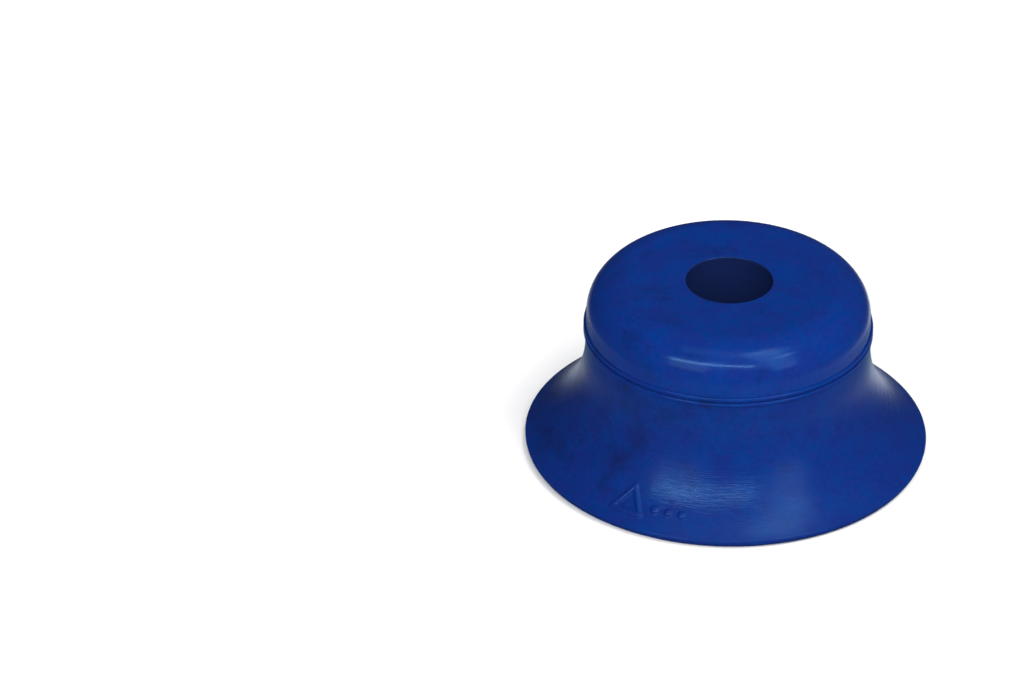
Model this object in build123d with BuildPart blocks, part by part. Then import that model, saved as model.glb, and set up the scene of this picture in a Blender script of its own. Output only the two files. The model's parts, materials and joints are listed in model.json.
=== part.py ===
from build123d import *
import math
import os

# One-piece vacuum suction cup, millimetres. +Z is the symmetry axis, and the lip stands on z = 0.
# The single elastomer moulding is divided into the regions that do different work:
# the head and neck stay still, the root of the skirt bends, and the lip rises.

# Driving dimensions: outside
LIP_RADIUS = 10.0
CUP_HEIGHT = 9.4
NECK_RADIUS = 7.08
DOME_ROUNDING = 1.9
DOME_DRAFT = 2.5
BEAD_HEIGHT = 6.7
FLARE_TOP = 5.75
NOSE_RADIUS = 0.45

# Driving dimensions: inside
BORE_RADIUS = 2.15
RECESS_RADIUS = 5.3
RECESS_FLOOR = 5.1
RECESS_MOUTH = 2.05
MOUTH_ROUNDING = 0.15

# The two raised rings on the parting line
BEAD_SPACING = 0.3
BEAD_WIDTH = 0.22
BEAD_PROUD = 0.13
BEAD_CHAMFER = 0.05

# Where the moving lip meets the bending root of the skirt
LIP_SPLIT_RADIUS = 7.95
SPLIT_CLEARANCE = 0.05

# Raised signs on the skirt: an outlined triangle, then a row of round pips
MARK_RADIUS = 9.05
MARK_SLOPE = 43.5
MARK_PROUD = 0.16
TRIANGLE_AZIMUTH = -121.0
TRIANGLE_SIDE = 1.8
TRIANGLE_STROKE = 0.25
PIP_RADIUS = 0.2
PIP_AZIMUTHS = (-112.0, -107.5, -103.0)

FULL_TURN = 360.0

# The skirt's outer face: one arc from the upright neck down to the nose at the lip's edge
skirt_width = LIP_RADIUS - NECK_RADIUS
skirt_drop = FLARE_TOP - NOSE_RADIUS
flare_radius = (skirt_width**2 + skirt_drop**2) / (2 * skirt_width)
flare_centre = (NECK_RADIUS + flare_radius, FLARE_TOP)
cone_outer_radius = LIP_RADIUS - NOSE_RADIUS

# The head's side leans in a little from the top of the beads
shoulder_base = BEAD_HEIGHT + (BEAD_SPACING + BEAD_WIDTH) / 2
dome_lean = (CUP_HEIGHT - shoulder_base) * math.tan(math.radians(DOME_DRAFT))


def flare_angle(radius):
    """Degrees turned along the flare's arc, from its upright top to this radius."""
    return math.degrees(math.acos((flare_centre[0] - radius) / flare_radius))


def flare_height(radius):
    """Height of the skirt's outer face at this radius."""
    return FLARE_TOP - flare_radius * math.sin(math.radians(flare_angle(radius)))


def cone_height(radius):
    """Height of the shallow inner cone at this radius."""
    share = (cone_outer_radius - radius) / (cone_outer_radius - RECESS_RADIUS)
    return RECESS_MOUTH * share


def skirt_plane(azimuth):
    """A plane that lies on the skirt at this azimuth: x runs round the cup, y up the slope."""
    turn = math.radians(azimuth)
    tilt = math.radians(MARK_SLOPE)
    outward = Vector(math.cos(turn), math.sin(turn), 0)
    return Plane(
        origin=outward * MARK_RADIUS + Vector(0, 0, flare_height(MARK_RADIUS)),
        x_dir=Vector(-math.sin(turn), math.cos(turn), 0),
        z_dir=outward * math.sin(tilt) + Vector(0, 0, math.cos(tilt)),
    )


# Thick domed head with the through bore that holds the fitting
with BuildPart() as head_dome:
    with BuildSketch(Plane.XZ) as head_section:
        with BuildLine():
            Polyline(
                (BORE_RADIUS, RECESS_FLOOR),
                (BORE_RADIUS, CUP_HEIGHT),
                (NECK_RADIUS - dome_lean, CUP_HEIGHT),
                (NECK_RADIUS, shoulder_base),
                (NECK_RADIUS, FLARE_TOP),
                (RECESS_RADIUS, FLARE_TOP),
                (RECESS_RADIUS, RECESS_FLOOR),
                close=True,
            )
        make_face()
        dome_corner = head_section.vertices().group_by(Axis.Y)[-1].sort_by(Axis.X)[-1]
        fillet(dome_corner, radius=DOME_ROUNDING)
    revolve(axis=Axis.Z, revolution_arc=FULL_TURN)

# Upright wall round the recess; its lower end meets the workpiece at full stroke
with BuildPart() as neck_collar:
    with BuildSketch(Plane.XZ) as collar_section:
        with BuildLine():
            Polyline(
                (RECESS_RADIUS, RECESS_MOUTH),
                (RECESS_RADIUS, FLARE_TOP),
                (NECK_RADIUS, FLARE_TOP),
                (NECK_RADIUS, cone_height(NECK_RADIUS)),
                close=True,
            )
        make_face()
        mouth_corner = collar_section.vertices().group_by(Axis.X)[0].sort_by(Axis.Y)[0]
        fillet(mouth_corner, radius=MOUTH_ROUNDING)
    revolve(axis=Axis.Z, revolution_arc=FULL_TURN)

# Two fine raised rings with a groove between them
with BuildPart() as parting_bead:
    with BuildSketch(Plane.XZ) as bead_section:
        with Locations((NECK_RADIUS + BEAD_PROUD / 2, BEAD_HEIGHT)):
            with GridLocations(0, BEAD_SPACING, 1, 2):
                Rectangle(BEAD_PROUD, BEAD_WIDTH)
        chamfer(bead_section.vertices().group_by(Axis.X)[-1], length=BEAD_CHAMFER)
    revolve(axis=Axis.Z, revolution_arc=FULL_TURN)

# Thick root of the skirt, which bends
with BuildPart() as flex_skirt:
    root_edge = LIP_SPLIT_RADIUS - SPLIT_CLEARANCE
    with BuildSketch(Plane.XZ):
        with BuildLine():
            CenterArc(flare_centre, flare_radius, FULL_TURN / 2, flare_angle(root_edge))
            Polyline(
                (root_edge, flare_height(root_edge)),
                (root_edge, cone_height(root_edge)),
                (NECK_RADIUS, cone_height(NECK_RADIUS)),
                (NECK_RADIUS, FLARE_TOP),
            )
        make_face()
    revolve(axis=Axis.Z, revolution_arc=FULL_TURN)

# Outer skirt, tapering to the thin rounded edge that seals
with BuildPart() as sealing_lip:
    split_angle = flare_angle(LIP_SPLIT_RADIUS)
    lip_turn = flare_angle(LIP_RADIUS) - split_angle
    with BuildSketch(Plane.XZ):
        with BuildLine():
            CenterArc(flare_centre, flare_radius, FULL_TURN / 2 + split_angle, lip_turn)
            CenterArc((cone_outer_radius, NOSE_RADIUS), NOSE_RADIUS, 0, -FULL_TURN / 4)
            Polyline(
                (cone_outer_radius, 0),
                (LIP_SPLIT_RADIUS, cone_height(LIP_SPLIT_RADIUS)),
                (LIP_SPLIT_RADIUS, flare_height(LIP_SPLIT_RADIUS)),
            )
        make_face()
    revolve(axis=Axis.Z, revolution_arc=FULL_TURN)

# Raised generic signs, in one node as separate solids that stand on the lip's outer face
with BuildPart() as mould_mark:
    with BuildSketch(skirt_plane(TRIANGLE_AZIMUTH)):
        RegularPolygon(TRIANGLE_SIDE / math.sqrt(3), side_count=3, rotation=FULL_TURN / 4)
        offset(amount=-TRIANGLE_STROKE, mode=Mode.SUBTRACT)
    for pip_azimuth in PIP_AZIMUTHS:
        with BuildSketch(skirt_plane(pip_azimuth)):
            Circle(PIP_RADIUS)
    extrude(amount=MARK_PROUD, both=True)
    add(sealing_lip.part, mode=Mode.SUBTRACT)

head_dome.part.label = "head_dome"
neck_collar.part.label = "neck_collar"
parting_bead.part.label = "parting_bead"
flex_skirt.part.label = "flex_skirt"
sealing_lip.part.label = "sealing_lip"
mould_mark.part.label = "mould_mark"

os.makedirs("parts", exist_ok=True)
export_step(head_dome.part, "parts/head_dome.step")
export_step(neck_collar.part, "parts/neck_collar.step")
export_step(parting_bead.part, "parts/parting_bead.step")
export_step(flex_skirt.part, "parts/flex_skirt.step")
export_step(sealing_lip.part, "parts/sealing_lip.step")
export_step(mould_mark.part, "parts/mould_mark.step")
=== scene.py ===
import json
import math

import bpy
import numpy as np
from mathutils import Matrix, Vector


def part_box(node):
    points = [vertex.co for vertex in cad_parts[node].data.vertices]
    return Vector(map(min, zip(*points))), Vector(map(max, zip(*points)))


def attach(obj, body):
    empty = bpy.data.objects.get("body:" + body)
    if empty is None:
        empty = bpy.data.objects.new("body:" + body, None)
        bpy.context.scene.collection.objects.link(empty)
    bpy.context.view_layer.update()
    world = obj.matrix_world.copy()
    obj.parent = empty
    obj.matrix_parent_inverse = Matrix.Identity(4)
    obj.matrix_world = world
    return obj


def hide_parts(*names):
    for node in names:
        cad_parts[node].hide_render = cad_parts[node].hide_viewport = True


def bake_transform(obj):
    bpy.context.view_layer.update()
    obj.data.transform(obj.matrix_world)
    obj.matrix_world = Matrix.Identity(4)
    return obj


# Vacuum suction cup, one blue elastomer moulding. Metres, in the frame of the CAD model:
# +Z is the cup's axis, and the lip stands on z = 0.

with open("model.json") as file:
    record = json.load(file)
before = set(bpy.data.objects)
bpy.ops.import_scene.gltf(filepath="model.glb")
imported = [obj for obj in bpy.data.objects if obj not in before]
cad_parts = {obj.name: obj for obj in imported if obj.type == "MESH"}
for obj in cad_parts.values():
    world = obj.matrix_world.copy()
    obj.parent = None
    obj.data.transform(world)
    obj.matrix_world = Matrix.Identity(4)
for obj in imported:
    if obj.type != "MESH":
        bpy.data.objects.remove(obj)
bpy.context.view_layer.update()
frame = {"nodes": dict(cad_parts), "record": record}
MM = 0.001

# ---------------------------------------------------------------- sizes from the frame


def radii(node):
    """(smallest, largest) distance of a CAD node's surface from the cup's axis."""
    reach = [math.hypot(v.co.x, v.co.y) for v in frame["nodes"][node].data.vertices]
    return min(reach), max(reach)


def mount(name):
    return next(m for m in frame["record"]["mounts"] if m["name"] == name)


BORE_RADIUS = mount("fitting_bore")["dims"]["r_mm"] * MM
RECESS_FLOOR = mount("flange_seat")["pos_m"][2]
RECESS_RADIUS, NECK_RADIUS = radii("neck_collar")
LIP_RADIUS = radii("sealing_lip")[1]
CUP_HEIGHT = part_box("head_dome")[1].z
FLARE_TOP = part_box("flex_skirt")[1].z
BEAD_LOW, BEAD_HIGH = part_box("parting_bead")[0].z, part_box("parting_bead")[1].z
BEAD_RADIUS = radii("parting_bead")[1]
COLLAR_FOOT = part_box("neck_collar")[0].z

# Sizes that the frame doesn't state, the same as in the CAD model
NOSE_RADIUS = 0.45 * MM
DOME_ROUNDING = 1.9 * MM
DOME_DRAFT = math.radians(2.5)
BEAD_WIDTH = 0.22 * MM
MOUTH_ROUNDING = 0.15 * MM

# Sizes set for the look alone, which the CAD model doesn't have
BEAD_SHOWN = 0.8  # how much of the CAD bead's height its rounded crest keeps
CREST_FULLNESS = 0.7  # below 1 is fuller than a half circle
BORE_EDGE = 0.07 * MM
RIM_EDGE = 0.12 * MM

CONE_OUTER_RADIUS = LIP_RADIUS - NOSE_RADIUS
CONE_SLOPE = COLLAR_FOOT / (CONE_OUTER_RADIUS - NECK_RADIUS)
RECESS_MOUTH = CONE_SLOPE * (CONE_OUTER_RADIUS - RECESS_RADIUS)
FLARE_RADIUS = ((LIP_RADIUS - NECK_RADIUS) ** 2 + (FLARE_TOP - NOSE_RADIUS) ** 2) / (
    2 * (LIP_RADIUS - NECK_RADIUS)
)
FLARE_CENTRE = (NECK_RADIUS + FLARE_RADIUS, FLARE_TOP)

# ---------------------------------------------------------------- outlines and lathe


def line(start, end, steps):
    """Points from start up to, but not including, end."""
    share = np.linspace(0, 1, steps, endpoint=False)[:, None]
    return np.array(start) * (1 - share) + np.array(end) * share


def arc(centre, radius, start, end, steps):
    """Points on a circle, angles in radians from +r towards +z, without the last one."""
    turn = np.linspace(start, end, steps, endpoint=False)
    return np.array(centre) + radius * np.stack([np.cos(turn), np.sin(turn)], 1)


def rounded(before, corner, after, radius, steps):
    """The arc that rounds a corner, from the side of `before` to the side of `after`."""
    corner = np.array(corner, float)
    one = np.array(before, float) - corner
    two = np.array(after, float) - corner
    one /= np.linalg.norm(one)
    two /= np.linalg.norm(two)
    half = math.acos(float(one @ two)) / 2
    middle = (one + two) / np.linalg.norm(one + two)
    centre = corner + middle * radius / math.sin(half)
    first = corner + one * radius / math.tan(half) - centre
    last = corner + two * radius / math.tan(half) - centre
    start = math.atan2(first[1], first[0])
    sweep = (math.atan2(last[1], last[0]) - start + math.pi) % (2 * math.pi) - math.pi
    turn = start + sweep * np.linspace(0, 1, steps)
    return centre + radius * np.stack([np.cos(turn), np.sin(turn)], 1)


def columns(low, high, fine, coarse):
    """Azimuths round the cup: finely spaced from low to high, coarsely elsewhere."""
    dense = np.linspace(low, high, int((high - low) / fine), endpoint=False)
    gap = 2 * math.pi - (high - low)
    rest = np.linspace(high, low + 2 * math.pi, int(gap / coarse), endpoint=False)
    return np.concatenate([dense, rest])


def lathe(name, outline, azimuths, sharp=()):
    """A closed ring-shaped mesh: the closed outline turned about the cup's axis.
    `sharp` holds the outline points whose rings are hard edges."""
    rows, turns = len(outline), len(azimuths)
    r, z = outline[:, 0][:, None], outline[:, 1][:, None]
    co = np.stack([r * np.cos(azimuths), r * np.sin(azimuths), z + 0 * azimuths], -1)
    row, turn = np.meshgrid(np.arange(rows), np.arange(turns), indexing="ij")
    up, on = (row + 1) % rows, (turn + 1) % turns
    quads = np.stack([row * turns + turn, row * turns + on, up * turns + on, up * turns + turn], -1)
    ahead = np.roll(outline, -1, axis=0)
    area = np.sum(outline[:, 0] * ahead[:, 1] - ahead[:, 0] * outline[:, 1])
    if area < 0:
        quads = quads[..., ::-1]
    mesh = bpy.data.meshes.new(name)
    mesh.from_pydata(co.reshape(-1, 3).tolist(), [], quads.reshape(-1, 4).tolist())
    mesh.shade_smooth()
    hard = set(sharp)
    flags = [
        e.vertices[0] // turns == e.vertices[1] // turns and e.vertices[0] // turns in hard
        for e in mesh.edges
    ]
    mesh.attributes.new("sharp_edge", "BOOLEAN", "EDGE").data.foreach_set("value", flags)
    mesh.validate()
    piece = bpy.data.objects.new(name, mesh)
    bpy.context.scene.collection.objects.link(piece)
    return piece


def join_runs(*runs):
    """One closed outline from several runs of points, and the index where each run starts."""
    starts = np.cumsum([0] + [len(run) for run in runs[:-1]])
    return np.concatenate(runs), [int(s) for s in starts]


def flare_turn(radius):
    return math.acos((FLARE_CENTRE[0] - radius) / FLARE_RADIUS)


MARK_LOW, MARK_HIGH = math.radians(-131), math.radians(-99)
AZIMUTHS = columns(MARK_LOW, MARK_HIGH, math.radians(0.2), math.radians(1.5))

# ---------------------------------------------------------------- head, with its bore


def make_head():
    """The thick domed cap: bore, flat top, rounded shoulder and the neck down to the flare."""
    lean = (CUP_HEIGHT - BEAD_HIGH) * math.tan(DOME_DRAFT)
    corner = (NECK_RADIUS - lean, CUP_HEIGHT)
    bore_top, bore_foot = (BORE_RADIUS, CUP_HEIGHT), (BORE_RADIUS, RECESS_FLOOR)
    shoulder = rounded(bore_top, corner, (NECK_RADIUS, BEAD_HIGH), DOME_ROUNDING, 44)
    top_edge = rounded(bore_foot, bore_top, corner, BORE_EDGE, 6)
    floor_edge = rounded((NECK_RADIUS, RECESS_FLOOR), bore_foot, bore_top, BORE_EDGE, 6)
    outline, starts = join_runs(
        floor_edge,
        line(floor_edge[-1], top_edge[0], 24)[1:],
        top_edge,
        line(top_edge[-1], shoulder[0], 40)[1:],
        shoulder,
        line(shoulder[-1], (NECK_RADIUS, BEAD_HIGH), 12)[1:],
        line((NECK_RADIUS, BEAD_HIGH), (NECK_RADIUS, FLARE_TOP), 12),
        line((NECK_RADIUS, FLARE_TOP), (RECESS_RADIUS, FLARE_TOP), 2),
        line((RECESS_RADIUS, FLARE_TOP), (RECESS_RADIUS, RECESS_FLOOR), 2),
        line((RECESS_RADIUS, RECESS_FLOOR), floor_edge[0], 24),
    )
    head = lathe("cup_head", outline, AZIMUTHS, sharp=starts[7:])
    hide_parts("head_dome")
    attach(head, "head")
    return head


def make_beads():
    """The two fine raised rings on the parting line, each with a rounded crest."""
    half = BEAD_WIDTH / 2
    proud = BEAD_SHOWN * (BEAD_RADIUS - NECK_RADIUS)
    sunk = NECK_RADIUS - proud / 4
    rings = []
    for side, height in (("upper", BEAD_HIGH - half), ("lower", BEAD_LOW + half)):
        turn = np.linspace(-math.pi / 2, math.pi / 2, 17)
        crest = np.stack(
            [NECK_RADIUS + proud * np.cos(turn) ** CREST_FULLNESS, height + half * np.sin(turn)], 1
        )
        root = line((sunk, height + half), (sunk, height - half), 2)
        foot = np.array([(sunk, height - half)])
        outline, starts = join_runs(crest, root, foot)
        rings.append(lathe(f"cup_bead_{side}", outline, AZIMUTHS, sharp=starts[1:]))
    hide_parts("parting_bead")
    for ring in rings:
        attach(ring, "head")
    return rings


# ---------------------------------------------------------------- skirt, with the raised signs

# The signs stand where the CAD model has them, but are sized for the look
MARK_RADIUS = 9.05 * MM
MARK_PROUD = 0.1 * MM
STROKE_WIDTH = 0.28 * MM
TRIANGLE_SIDE = 1.55 * MM
TRIANGLE_AZIMUTH = math.radians(-121)
ON_SURFACE = 0.002 * MM  # a point this near the flare's arc lies on it
PIP_AZIMUTHS = tuple(math.radians(a) for a in (-112, -107.5, -103))
PIP_WIDTH = 0.42 * MM
STROKE_FULLNESS = 0.4  # lower is flatter on top, with steeper sides
MARK_BAND = (8.0 * MM, 9.85 * MM)  # the radii between which the outline is finely divided


def distance_to_segment(point, start, end):
    along = end - start
    share = np.clip(((point - start) @ along) / (along @ along), 0, 1)
    return np.linalg.norm(point - start - share[:, None] * along, axis=1)


def raised(distance, width):
    """Height of a round-topped stroke at this distance from its middle line."""
    share = np.clip(distance / (width / 2), 0, 1)
    return MARK_PROUD * np.clip(1 - share**2, 0, 1) ** STROKE_FULLNESS


def mark_height(azimuth, slope_length):
    """Height of the raised signs at places on the skirt, as arrays."""
    height = np.zeros(len(azimuth))
    place = np.stack([(azimuth - TRIANGLE_AZIMUTH) * MARK_RADIUS, slope_length], 1)
    spread = TRIANGLE_SIDE / math.sqrt(3)
    corners = [
        spread * np.array([math.cos(a), math.sin(a)])
        for a in (math.pi / 2, math.pi * 7 / 6, math.pi * 11 / 6)
    ]
    for start, end in zip(corners, corners[1:] + corners[:1]):
        height = np.maximum(height, raised(distance_to_segment(place, start, end), STROKE_WIDTH))
    for pip in PIP_AZIMUTHS:
        place = np.stack([(azimuth - pip) * MARK_RADIUS, slope_length], 1)
        height = np.maximum(height, raised(np.linalg.norm(place, axis=1), PIP_WIDTH))
    return height


def make_skirt():
    """The wall round the recess, the flared skirt and the thin rounded lip."""
    lip_turn = flare_turn(LIP_RADIUS)
    mark_from, mark_to = (flare_turn(radius) for radius in MARK_BAND)
    nose_end = (CONE_OUTER_RADIUS, 0)
    mouth = (RECESS_RADIUS, RECESS_MOUTH)
    rim = rounded((LIP_RADIUS, 0), nose_end, mouth, RIM_EDGE, 5)
    mouth_edge = rounded(nose_end, mouth, (RECESS_RADIUS, FLARE_TOP), MOUTH_ROUNDING, 7)
    outline, starts = join_runs(
        arc(FLARE_CENTRE, FLARE_RADIUS, math.pi, math.pi + mark_from, 30),
        arc(FLARE_CENTRE, FLARE_RADIUS, math.pi + mark_from, math.pi + mark_to, 72),
        arc(FLARE_CENTRE, FLARE_RADIUS, math.pi + mark_to, math.pi + lip_turn, 4),
        arc((CONE_OUTER_RADIUS, NOSE_RADIUS), NOSE_RADIUS, 0, -math.pi / 2, 9)[:-1],
        rim,
        line(rim[-1], mouth_edge[0], 60)[1:],
        mouth_edge,
        line(mouth_edge[-1], (RECESS_RADIUS, RECESS_FLOOR), 24)[1:],
        line((RECESS_RADIUS, RECESS_FLOOR), (RECESS_RADIUS, FLARE_TOP), 2),
        line((RECESS_RADIUS, FLARE_TOP), (NECK_RADIUS, FLARE_TOP), 2),
    )
    skirt = lathe("cup_skirt", outline, AZIMUTHS, sharp=[0] + starts[8:])
    raise_marks(skirt)
    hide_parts("neck_collar", "flex_skirt", "sealing_lip", "mould_mark")
    bend_skirt(skirt)
    return skirt


def raise_marks(skirt):
    """Pushes the outer face out along its normal where the raised signs are."""
    co = np.array([v.co for v in skirt.data.vertices])
    r, z = np.hypot(co[:, 0], co[:, 1]), co[:, 2]
    azimuth = np.arctan2(co[:, 1], co[:, 0])
    off_centre = np.hypot(r - FLARE_CENTRE[0], z - FLARE_CENTRE[1])
    outer = np.abs(off_centre - FLARE_RADIUS) < ON_SURFACE
    turn = np.arctan2(FLARE_CENTRE[1] - z, FLARE_CENTRE[0] - r)
    slope_length = (flare_turn(MARK_RADIUS) - turn) * FLARE_RADIUS
    height = np.where(outer, mark_height(azimuth, slope_length), 0)
    co[:, 0] += height * np.cos(turn) * np.cos(azimuth)
    co[:, 1] += height * np.cos(turn) * np.sin(azimuth)
    co[:, 2] += height * np.sin(turn)
    skirt.data.vertices.foreach_set("co", co.astype(np.float32).ravel())
    skirt.data.update()


def bend_skirt(skirt):
    """Bakes the skirt's placement into its mesh; the skirt isn't bent here."""
    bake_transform(skirt)


# ---------------------------------------------------------------- the rubber


def new_material(name):
    material = bpy.data.materials.new(name)
    material.use_nodes = True
    nodes, links = material.node_tree.nodes, material.node_tree.links
    return material, nodes, links, nodes["Principled BSDF"]


def ramp(nodes, links, value, *stops):
    """A colour ramp fed by value; each stop is (position, colour)."""
    node = nodes.new("ShaderNodeValToRGB")
    links.new(value, node.inputs["Fac"])
    elements = node.color_ramp.elements
    while len(elements) < len(stops):
        elements.new(0.5)
    for element, (position, colour) in zip(elements, stops):
        element.position = position
        element.color = (*colour, 1)
    return node.outputs["Color"]


def noise(nodes, links, vector, scale, detail=2.0, roughness=0.5):
    node = nodes.new("ShaderNodeTexNoise")
    links.new(vector, node.inputs["Vector"])
    node.inputs["Scale"].default_value = scale
    node.inputs["Detail"].default_value = detail
    node.inputs["Roughness"].default_value = roughness
    return node.outputs["Fac"]


def maths(nodes, links, operation, *values):
    node = nodes.new("ShaderNodeMath")
    node.operation = operation
    for socket, value in zip(node.inputs, values):
        if isinstance(value, (int, float)):
            socket.default_value = value
        else:
            links.new(value, socket)
    return node.outputs[0]


def clamped(nodes, links, value, low, high):
    return maths(nodes, links, "MINIMUM", maths(nodes, links, "MAXIMUM", value, low), high)


def packed(nodes, links, *values):
    """A vector from up to three values."""
    node = nodes.new("ShaderNodeCombineXYZ")
    for socket, value in zip(node.inputs, values):
        links.new(value, socket)
    return node.outputs[0]


def mixed(nodes, links, share, one, two):
    node = nodes.new("ShaderNodeMix")
    node.data_type = "RGBA"
    for name, value in (("Factor", share), ("A", one), ("B", two)):
        socket = node.inputs[name]
        if isinstance(value, tuple):
            socket.default_value = (*value, 1)
        elif isinstance(value, float):
            socket.default_value = value
        else:
            links.new(value, socket)
    return node.outputs["Result"]


# Colours of the rubber, linear; the last three are partly or wholly painted shade
VIOLET_BLUES = (0.0044, 0.0166, 0.130), (0.0068, 0.0212, 0.158)
TEAL_BLUES = (0.0006, 0.0176, 0.126), (0.0012, 0.0229, 0.153)
# painted shade, mixed into the skirt's colour
SKIRT_PAINTED_SHADE = (0.0040, 0.0020, 0.020)
# dark smudges, also used as painted shade on the -X side
SMUDGE_AND_SHADE = (0.0040, 0.0090, 0.052)
# painted shade inside the bore
BORE_SHADE_BLUE = (0.0056, 0.0125, 0.060)

# Roughness and relief
POLISHED, SATIN, ROUGHEST = 0.16, 0.22, 0.28
RELIEF = 0.03 * MM
SKIRT_FROM, SKIRT_FADE = 7.1 * MM, 1.5 * MM
DASH_STRETCH = 0.06  # how slowly a groove changes along its length


def make_rubber():
    """Satin blue elastomer: clouded colour, dark smudges, painted shade on the skirt, the -X side and
    in the bore, fine turning marks from the mould.
    """
    material, nodes, links, shader = new_material("blue_elastomer")
    place = nodes.new("ShaderNodeTexCoord").outputs["Object"]
    split = nodes.new("ShaderNodeSeparateXYZ")
    links.new(place, split.inputs[0])
    x, y, z = split.outputs
    x_squared = maths(nodes, links, "MULTIPLY", x, x)
    y_squared = maths(nodes, links, "MULTIPLY", y, y)
    radius = maths(nodes, links, "SQRT", maths(nodes, links, "ADD", x_squared, y_squared))
    # 0 on the head, 1 on the skirt
    skirt = maths(nodes, links, "MULTIPLY_ADD", z, -1 / SKIRT_FADE, SKIRT_FROM / SKIRT_FADE)
    skirt = clamped(nodes, links, skirt, 0.0, 1.0)

    ring_noise = noise(nodes, links, packed(nodes, links, radius, z), 9000, detail=0.0)
    along = maths(nodes, links, "MULTIPLY", x, DASH_STRETCH)
    groove_noise = noise(nodes, links, packed(nodes, links, radius, z, along), 22000, detail=0.0)
    clouds = noise(nodes, links, place, 900, detail=6.0, roughness=0.66)
    tints = noise(nodes, links, place, 900, detail=6.0, roughness=0.75)
    smudges = noise(nodes, links, place, 560, detail=4.0, roughness=0.55)
    grain = noise(nodes, links, place, 14000, detail=1.0)
    dents = noise(nodes, links, place, 2100, detail=2.0)
    patches = noise(nodes, links, place, 1300, detail=2.0)
    flecks = noise(nodes, links, place, 5200, detail=2.0, roughness=0.6)
    fine = noise(nodes, links, place, 4200, detail=2.0, roughness=0.6)

    # brightness in soft clouds, hue between violet and teal
    flecks = maths(nodes, links, "MULTIPLY_ADD", flecks, 0.5, -0.25)
    clouds = maths(nodes, links, "ADD", clouds, flecks)
    fine = maths(nodes, links, "MULTIPLY_ADD", fine, 0.5, -0.25)
    tints = maths(nodes, links, "ADD", tints, fine)
    violet = ramp(nodes, links, clouds, (0.34, VIOLET_BLUES[0]), (0.66, VIOLET_BLUES[1]))
    teal = ramp(nodes, links, clouds, (0.34, TEAL_BLUES[0]), (0.66, TEAL_BLUES[1]))
    hue = ramp(nodes, links, tints, (0.38, (0, 0, 0)), (0.62, (1, 1, 1)))
    base = mixed(nodes, links, hue, violet, teal)
    # painted shade: the skirt is darkened a little against the head, as if less light fell on it
    skirt_shade_share = maths(nodes, links, "MULTIPLY", skirt, 0.15)
    base = mixed(nodes, links, skirt_shade_share, base, SKIRT_PAINTED_SHADE)
    # dark smudges, with painted shade: their share grows towards the -X side, which is darkened as if
    # in shade
    smudges_and_side_shade = maths(nodes, links, "MULTIPLY_ADD", x, -0.075 / LIP_RADIUS, smudges)
    dark = ramp(nodes, links, smudges_and_side_shade, (0.56, (0, 0, 0)), (0.80, (0.65, 0.65, 0.65)))
    base = mixed(nodes, links, dark, base, SMUDGE_AND_SHADE)
    # painted shade: the bore is darkened, as if shade fell inside it
    in_bore_shade = maths(nodes, links, "LESS_THAN", radius, BORE_RADIUS + 0.03 * MM)
    base = mixed(nodes, links, in_bore_shade, base, BORE_SHADE_BLUE)
    links.new(base, shader.inputs["Base Color"])

    # the mould is polished round the head and finely turned along the skirt
    rough = maths(nodes, links, "MULTIPLY_ADD", skirt, SATIN - POLISHED, POLISHED)
    streaks = maths(nodes, links, "MULTIPLY_ADD", ring_noise, 0.06, -0.03)
    rough = maths(nodes, links, "ADD", rough, streaks)
    cloudy = maths(nodes, links, "MULTIPLY_ADD", clouds, 0.12, -0.06)
    rough = maths(nodes, links, "ADD", rough, cloudy)
    rough = maths(nodes, links, "MINIMUM", rough, ROUGHEST)
    links.new(rough, shader.inputs["Roughness"])

    # shallow dents and grain, broken rings all over, and finer grooves on the skirt alone
    height = maths(nodes, links, "MULTIPLY", grain, 0.03)
    height = maths(nodes, links, "MULTIPLY_ADD", dents, 0.4, height)
    broken = ramp(nodes, links, patches, (0.4, (0.2, 0.2, 0.2)), (0.62, (1, 1, 1)))
    turned = maths(nodes, links, "MULTIPLY", ring_noise, broken)
    height = maths(nodes, links, "MULTIPLY_ADD", turned, 0.12, height)
    grooved = maths(nodes, links, "MULTIPLY", groove_noise, skirt)
    height = maths(nodes, links, "MULTIPLY_ADD", grooved, 0.6, height)
    bump = nodes.new("ShaderNodeBump")
    bump.inputs["Strength"].default_value = 0.35
    bump.inputs["Distance"].default_value = RELIEF
    links.new(height, bump.inputs["Height"])
    links.new(bump.outputs["Normal"], shader.inputs["Normal"])
    shader.inputs["Specular IOR Level"].default_value = 0.15
    shader.inputs["Specular Tint"].default_value = (0.28, 0.64, 1.0, 1)
    return material


# ---------------------------------------------------------------- floor, light and camera


FLOOR_HALF = 1.5


def make_floor():
    """A plain pale floor, faintly uneven in tone."""
    corners = [(x * FLOOR_HALF, y * FLOOR_HALF, 0) for x, y in ((-1, -1), (1, -1), (1, 1), (-1, 1))]
    mesh = bpy.data.meshes.new("floor")
    mesh.from_pydata(corners, [], [(0, 1, 2, 3)])
    floor = bpy.data.objects.new("floor", mesh)
    bpy.context.scene.collection.objects.link(floor)
    material, nodes, links, shader = new_material("pale_floor")
    place = nodes.new("ShaderNodeTexCoord").outputs["Object"]
    patches = noise(nodes, links, place, 30)
    tone = ramp(nodes, links, patches, (0.3, (0.86, 0.86, 0.86)), (0.7, (0.88, 0.88, 0.88)))
    links.new(tone, shader.inputs["Base Color"])
    shader.inputs["Roughness"].default_value = 0.9
    shader.inputs["Specular IOR Level"].default_value = 0.1
    mesh.materials.append(material)
    # the gloss reflects the studio's own tones, which make_world gives
    floor.visible_glossy = False


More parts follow.
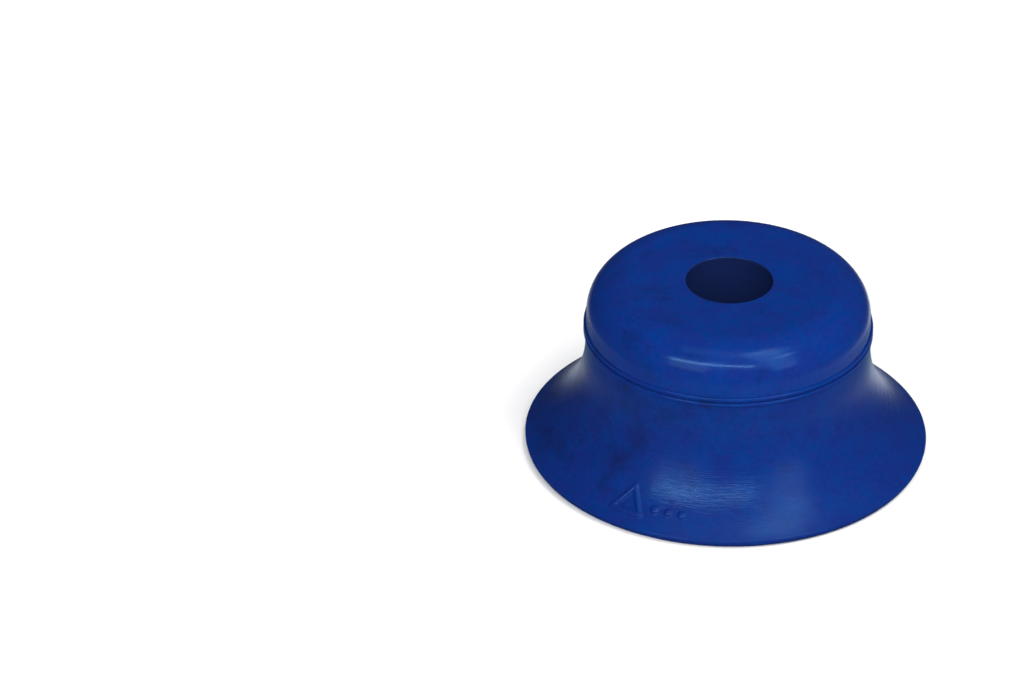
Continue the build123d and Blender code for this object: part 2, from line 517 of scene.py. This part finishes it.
def softbox(name, azimuth, elevation, distance, width, height, power, glossy=True):
    """An area light aimed at the cup. Azimuth 0 is in front, on -Y, and grows towards +X.
    One that isn't glossy lights the cup without showing in its gloss."""
    turn, rise = math.radians(azimuth), math.radians(elevation)
    away = Vector((math.sin(turn) * math.cos(rise), -math.cos(turn) * math.cos(rise), math.sin(rise)))
    data = bpy.data.lights.new(name, "AREA")
    data.shape = "RECTANGLE"
    data.size, data.size_y = width, height
    data.energy = power
    light = bpy.data.objects.new(name, data)
    light.location = Vector((0, 0, CUP_HEIGHT / 2)) + away * distance
    light.rotation_euler = (-away).to_track_quat("-Z", "Y").to_euler()
    light.visible_glossy = glossy
    bpy.context.scene.collection.objects.link(light)


# What the gloss reflects, from straight down (0) through the horizon (0.5) to straight up (1)
ROOM_BY_HEIGHT = (
    (0.10, (0.01, 0.02, 0.04)),
    (0.215, (0.05, 0.17, 0.22)),
    (0.248, (0.20, 0.30, 0.38)),
    (0.262, (0.80, 0.87, 0.95)),
    (0.288, (0.75, 0.82, 0.92)),
    (0.31, (0.30, 0.34, 0.40)),
    (0.36, (0.10, 0.12, 0.15)),
    (0.42, (0.03, 0.03, 0.04)),
    (0.75, (0.05, 0.05, 0.06)),
)
# Its strength from the -X side (0) to the +X side (1), as a share of ROOM_STRENGTH
ROOM_BY_SIDE = (
    (0.20, 0.12),
    (0.27, 0.18),
    (0.40, 0.20),
    (0.50, 0.22),
    (0.60, 0.33),
    (0.68, 0.30),
    (0.78, 0.20),
    (0.90, 0.26),
)
ROOM_STRENGTH = 4.0


def make_world():
    """A dim room, with a pale band below the horizon that grazing reflections pick up."""
    world = bpy.data.worlds.new("studio")
    bpy.context.scene.world = world
    world.use_nodes = True
    nodes, links = world.node_tree.nodes, world.node_tree.links
    split = nodes.new("ShaderNodeSeparateXYZ")
    links.new(nodes.new("ShaderNodeTexCoord").outputs["Generated"], split.inputs[0])
    rise = maths(nodes, links, "MULTIPLY_ADD", split.outputs[2], 0.5, 0.5)
    across = maths(nodes, links, "MULTIPLY_ADD", split.outputs[0], 0.5, 0.5)
    side = ramp(nodes, links, across, *((place, (share,) * 3) for place, share in ROOM_BY_SIDE))
    background = nodes["Background"]
    links.new(ramp(nodes, links, rise, *ROOM_BY_HEIGHT), background.inputs["Color"])
    links.new(maths(nodes, links, "MULTIPLY", side, ROOM_STRENGTH), background.inputs["Strength"])


SENSOR = 36.0
LENS = 354.0
DISTANCE = 496 * MM
ELEVATION = math.radians(32.66)
ROLL = math.radians(1.44)
LIP_CENTRE_RIGHT = 0.2182
LIP_CENTRE_DOWN = 0.1025


def make_camera():
    """A long lens from the front, above the lip; the cup stands right of and below the middle."""
    back = Vector((0, -math.cos(ELEVATION), math.sin(ELEVATION)))
    right = Vector((1, 0, 0))
    up = back.cross(right)
    rolled_right = math.cos(ROLL) * right + math.sin(ROLL) * up
    rolled_up = -math.sin(ROLL) * right + math.cos(ROLL) * up
    # turn the lens away from the cup, so that the cup stands off-centre
    tan_right = LIP_CENTRE_RIGHT * SENSOR / LENS
    tan_down = LIP_CENTRE_DOWN * SENSOR / LENS
    forward = (-back - tan_right * rolled_right + tan_down * rolled_up).normalized()
    side = forward.cross(rolled_up).normalized()
    top = side.cross(forward)
    data = bpy.data.cameras.new("camera")
    data.lens = LENS
    data.sensor_width = SENSOR
    data.clip_start = 0.01
    data.clip_end = 10
    camera = bpy.data.objects.new("camera", data)
    turn = Matrix((side, top, -forward)).transposed()
    camera.matrix_world = Matrix.Translation(back * DISTANCE) @ turn.to_4x4()
    bpy.context.scene.collection.objects.link(camera)
    bpy.context.scene.camera = camera


# name, azimuth and elevation (degrees), distance, width, height (metres), power (watts)
SOFTBOXES = (
    ("window_left", -32, 28, 0.5, 0.26, 0.24, 0.75),
    ("window_right", 46, 43, 0.5, 0.19, 0.60, 1.4),
    ("strip_left", -13, 39, 0.48, 0.54, 0.027, 1.7),
    ("window_right_high", 60, 64, 0.5, 0.16, 0.16, 0.28),
    ("strip_right", 56, 46, 0.48, 0.12, 0.03, 0.14),
    ("top", -12, 74, 0.5, 0.36, 0.16, 0.3),
    ("front", 10, 45, 0.6, 0.60, 0.42, 0.6),
)
# the same, for the lights that the gloss doesn't show
FILLS = (
    ("fill_right", 95, 50, 0.5, 0.3, 0.3, 1.0),
    ("fill_back", 180, 60, 0.5, 0.3, 0.3, 0.3),
)

make_camera()
rubber = make_rubber()
pieces = [make_head(), *make_beads(), make_skirt()]
for piece in pieces:
    piece.data.materials.append(rubber)
make_floor()
make_world()
for light in SOFTBOXES:
    softbox(*light)
for fill in FILLS:
    softbox(*fill, glossy=False)
bpy.context.scene.view_settings.view_transform = "Standard"
